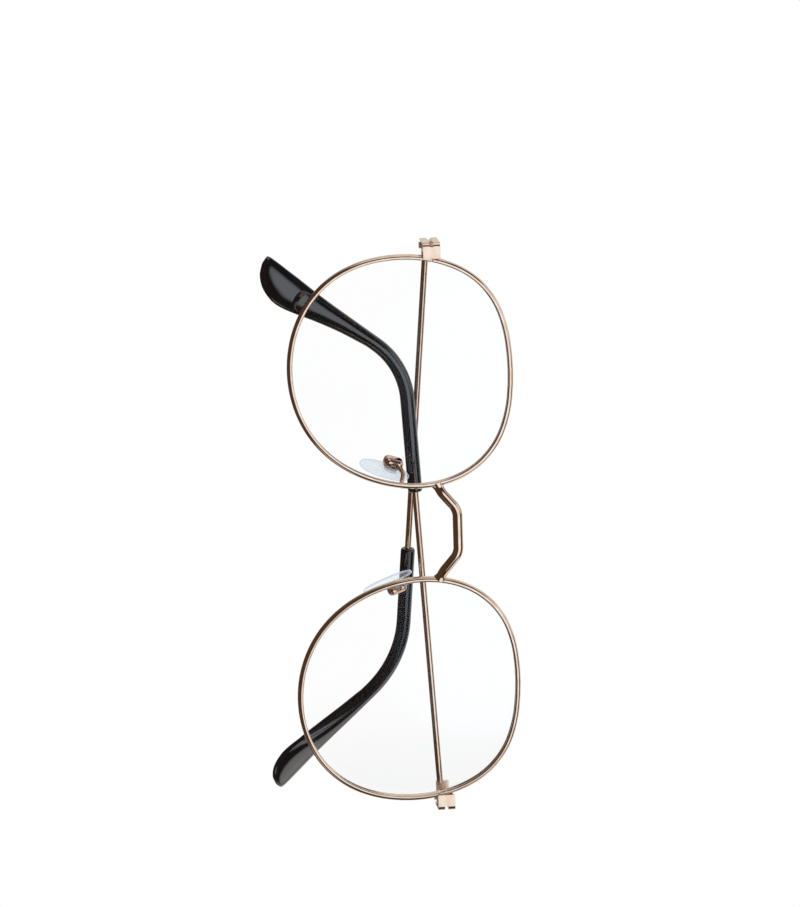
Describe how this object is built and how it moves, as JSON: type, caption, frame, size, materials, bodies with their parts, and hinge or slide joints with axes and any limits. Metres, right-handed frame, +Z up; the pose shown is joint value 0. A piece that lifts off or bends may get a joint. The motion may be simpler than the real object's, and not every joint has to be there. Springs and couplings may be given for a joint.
{
  "type": "round eyeglasses",
  "caption": "Round metal wire-rim eyeglasses with clear lenses, folding temples with black sleeves, and rocking nose pads on arms.",
  "frame": {"origin": "midway between the two nose pads, where the glasses rest on a nose", "axes": "+Z is up as worn, -Y is the front that faces away from the wearer, +X is towards the wearer's left"},
  "size_m": [0.1284, 0.0298, 0.0542],
  "materials": {
    "frame_metal": "polished pale rose-gold plating",
    "hinge_metal": "polished rose-gold plating, slightly rubbed at the knuckles",
    "pad_fittings": "polished rose-gold plating",
    "screws": "bright plated steel with a cut slot",
    "lens": "clear polished plastic lens with a light anti-reflective coat",
    "temple_tips": "glossy black plastic",
    "nose_pads": "clear soft silicone",
    "pad_cores": "clear hard plastic"
  },
  "bodies": {
    "front": {"rim_left": "frame_metal", "rim_right": "frame_metal", "lens_left": "lens", "lens_right": "lens", "rim_lock_upper_left": "hinge_metal", "rim_lock_upper_right": "hinge_metal", "rim_lock_lower_left": "hinge_metal", "rim_lock_lower_right": "hinge_metal", "rim_screw_left": "screws", "rim_screw_right": "screws", "end_piece_left": "frame_metal", "end_piece_right": "frame_metal", "hinge_front_leaf_left": "hinge_metal", "hinge_front_leaf_right": "hinge_metal", "hinge_screw_left": "screws", "hinge_screw_right": "screws", "bridge": "frame_metal", "pad_arm_left": "pad_fittings", "pad_arm_right": "pad_fittings", "pad_box_left": "pad_fittings", "pad_box_right": "pad_fittings", "pad_screw_left": "screws", "pad_screw_right": "screws"},
    "temple_left": {"hinge_temple_leaf_left": "hinge_metal", "temple_wire_left": "frame_metal", "temple_tip_left": "temple_tips"},
    "temple_right": {"hinge_temple_leaf_right": "hinge_metal", "temple_wire_right": "frame_metal", "temple_tip_right": "temple_tips"},
    "nose_pad_left": {"nose_pad_left": "nose_pads", "pad_core_left": "pad_cores"},
    "nose_pad_right": {"nose_pad_right": "nose_pads", "pad_core_right": "pad_cores"}
  },
  "joints": [
    {"name": "temple_left_hinge", "type": "hinge", "parent": "front", "child": "temple_left", "pos_m": [0.06262, -0.0003, 0.01107], "axis": [0, 0, -1], "range_deg": [0, 88.1]},
    {"name": "temple_right_hinge", "type": "hinge", "parent": "front", "child": "temple_right", "pos_m": [-0.06262, -0.0003, 0.01107], "axis": [0, 0, 1], "range_deg": [0, 82.6]},
    {"name": "nose_pad_left_rock", "type": "hinge", "parent": "front", "child": "nose_pad_left", "pos_m": [0.01418, -0.00037, 0.00194], "axis": [0.2419, 0.9703, 0], "range_deg": [-8, 8]},
    {"name": "nose_pad_right_rock", "type": "hinge", "parent": "front", "child": "nose_pad_right", "pos_m": [-0.01418, -0.00037, 0.00194], "axis": [-0.2419, 0.9703, 0], "range_deg": [-8, 8]}
  ]
}
